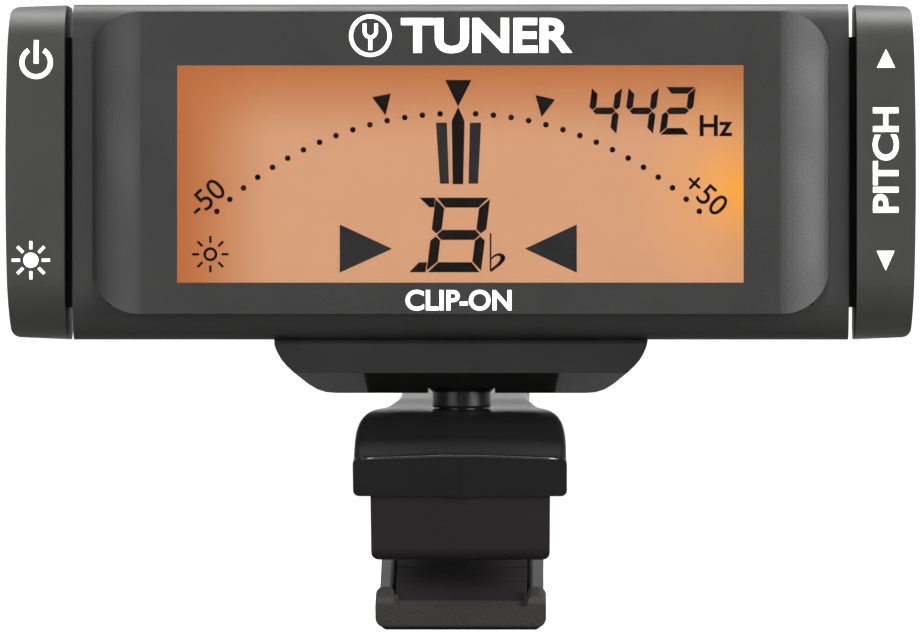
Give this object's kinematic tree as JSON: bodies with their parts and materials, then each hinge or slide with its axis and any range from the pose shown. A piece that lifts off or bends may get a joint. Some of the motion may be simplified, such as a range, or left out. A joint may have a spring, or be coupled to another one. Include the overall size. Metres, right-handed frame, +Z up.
{
  "type": "clip on tuner",
  "caption": "Wide lit display head with a rocking key at each end, on a ball stud above a spring clip with rubber-lined jaws.",
  "frame": {"origin": "centre of the upper jaw pad's gripping face", "axes": "+X to the viewer's right along the display, +Y away from the viewer, +Z up the display"},
  "size_m": [0.06, 0.0351, 0.0415],
  "materials": {
    "satin_black": "fine matte grain, near black",
    "gloss_black": "smooth gloss black",
    "rubber_black": "matt black rubber",
    "inner_plastic": "natural white moulding",
    "steel": "plated steel",
    "clear_plastic": "clear acrylic",
    "amber_panel": "amber lit display with dark segments",
    "board_green": "green solder mask",
    "chip_black": "moulded epoxy",
    "ceramic_tan": "fired ceramic",
    "brass": "bright brass"
  },
  "bodies": {
    "clip_frame": {"upper_arm": "gloss_black", "upper_pad": "rubber_black", "hinge_pin": "steel", "torsion_spring": "steel"},
    "lower_jaw": {"lower_arm": "gloss_black", "lower_pad": "rubber_black"},
    "stud": {"ball_stud": "gloss_black", "stud_washer": "steel", "stud_screw": "steel"},
    "head": {"front_housing": "satin_black", "rear_housing": "satin_black", "display_window": "clear_plastic", "lcd_panel": "amber_panel", "lcd_frame": "inner_plastic", "light_guide": "clear_plastic", "reflector_sheet": "inner_plastic", "backlight_led": "inner_plastic", "zebra_connector": "rubber_black", "circuit_board": "board_green", "microcontroller": "chip_black", "crystal": "steel", "capacitor_1": "ceramic_tan", "capacitor_2": "ceramic_tan", "capacitor_3": "ceramic_tan", "left_upper_switch": "chip_black", "left_lower_switch": "chip_black", "right_upper_switch": "chip_black", "right_lower_switch": "chip_black", "left_key_pin": "steel", "right_key_pin": "steel", "coin_cell": "steel", "minus_contact": "brass", "plus_contact": "brass", "piezo_sensor": "brass", "sensor_foam": "rubber_black", "socket_front": "inner_plastic", "socket_rear": "inner_plastic", "housing_screw_1": "steel", "housing_screw_2": "steel", "housing_screw_3": "steel", "housing_screw_4": "steel"},
    "left_key": {"left_key": "satin_black"},
    "right_key": {"right_key": "satin_black"},
    "left_upper_plunger": {"left_upper_plunger": "inner_plastic"},
    "left_lower_plunger": {"left_lower_plunger": "inner_plastic"},
    "right_upper_plunger": {"right_upper_plunger": "inner_plastic"},
    "right_lower_plunger": {"right_lower_plunger": "inner_plastic"},
    "battery_cover": {"battery_cover": "satin_black"}
  },
  "joints": [
    {"name": "jaw_open", "type": "hinge", "parent": "clip_frame", "child": "lower_jaw", "pos_m": [0, 0.012, 0.0032], "axis": [1, 0, 0], "range_deg": [0, 35], "stiffness_Nm_per_rad": 0.12, "springref_deg": -28.65, "deforming": ["torsion_spring"]},
    {"name": "head_turn", "type": "hinge", "parent": "clip_frame", "child": "stud", "pos_m": [0, 0.0004, 0.00748], "axis": [0, 0, 1], "range_deg": [-180, 180]},
    {"name": "head_tilt", "type": "hinge", "parent": "stud", "child": "head", "pos_m": [0, 0.0004, 0.0109], "axis": [1, 0, 0], "range_deg": [-20, 20]},
    {"name": "left_key_rock", "type": "hinge", "parent": "head", "child": "left_key", "pos_m": [-0.0241, -0.001, 0.0232], "axis": [0, 1, 0], "range_deg": [-2.2, 2.2], "stiffness_Nm_per_rad": 0.15},
    {"name": "right_key_rock", "type": "hinge", "parent": "head", "child": "right_key", "pos_m": [0.0241, -0.001, 0.0232], "axis": [0, 1, 0], "range_deg": [-2.2, 2.2], "stiffness_Nm_per_rad": 0.15},
    {"name": "left_upper_press", "type": "slide", "parent": "head", "child": "left_upper_plunger", "axis": [1, 0, 0], "range_m": [-0.0002, 0.0002]},
    {"name": "left_lower_press", "type": "slide", "parent": "head", "child": "left_lower_plunger", "axis": [1, 0, 0], "range_m": [-0.0002, 0.0002]},
    {"name": "right_upper_press", "type": "slide", "parent": "head", "child": "right_upper_plunger", "axis": [1, 0, 0], "range_m": [-0.0002, 0.0002]},
    {"name": "right_lower_press", "type": "slide", "parent": "head", "child": "right_lower_plunger", "axis": [1, 0, 0], "range_m": [-0.0002, 0.0002]},
    {"name": "battery_cover_lift", "type": "slide", "parent": "head", "child": "battery_cover", "axis": [0, 1, 0], "range_m": [0, 0.012]}
  ],
  "couplings": [
    {"joint": "left_upper_press", "follows": "left_key_rock", "m_per_rad": 0.0048},
    {"joint": "left_lower_press", "follows": "left_key_rock", "m_per_rad": -0.0048},
    {"joint": "right_upper_press", "follows": "right_key_rock", "m_per_rad": 0.0048},
    {"joint": "right_lower_press", "follows": "right_key_rock", "m_per_rad": -0.0048}
  ]
}
